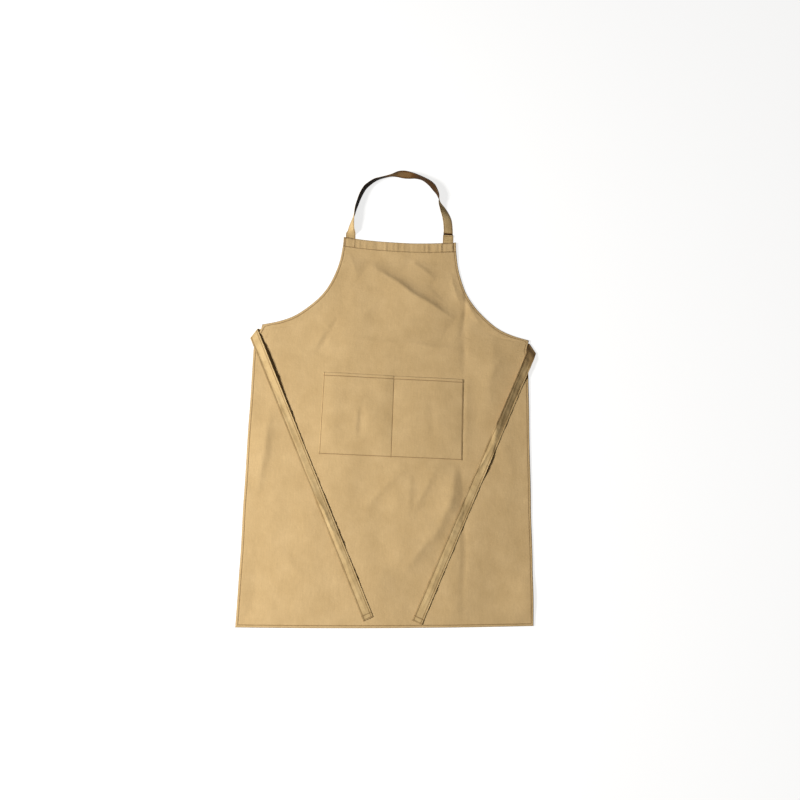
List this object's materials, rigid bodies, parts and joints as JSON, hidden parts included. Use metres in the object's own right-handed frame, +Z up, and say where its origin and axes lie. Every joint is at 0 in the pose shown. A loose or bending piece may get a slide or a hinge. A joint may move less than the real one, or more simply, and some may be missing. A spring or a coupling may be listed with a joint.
{
  "type": "bib apron",
  "caption": "Full-length cloth bib apron lying flat: bib with curved armholes, split front pocket, neck loop strap and side ties brought round to the front.",
  "frame": {"origin": "bottom centre of the object's box as it lies, on the surface it lies on", "axes": "+Y along the apron from its hem to its neck strap, +X to the right seen from its front, +Z up out of its front face"},
  "size_m": [0.6898, 1.1074, 0.0235],
  "materials": {
    "twill": "khaki cotton twill, matt",
    "strap_twill": "khaki cotton twill folded to a flat strap, matt"
  },
  "bodies": {
    "root": {"apron_panel": "twill", "bottom_hem": "twill", "top_hem": "twill", "left_side_hem": "twill", "right_side_hem": "twill", "left_armhole_hem": "twill", "right_armhole_hem": "twill", "pocket": "twill", "neck_strap": "strap_twill", "right_strap_tab": "strap_twill", "left_tie": "strap_twill", "right_tie": "strap_twill"}
  },
  "joints": []
}
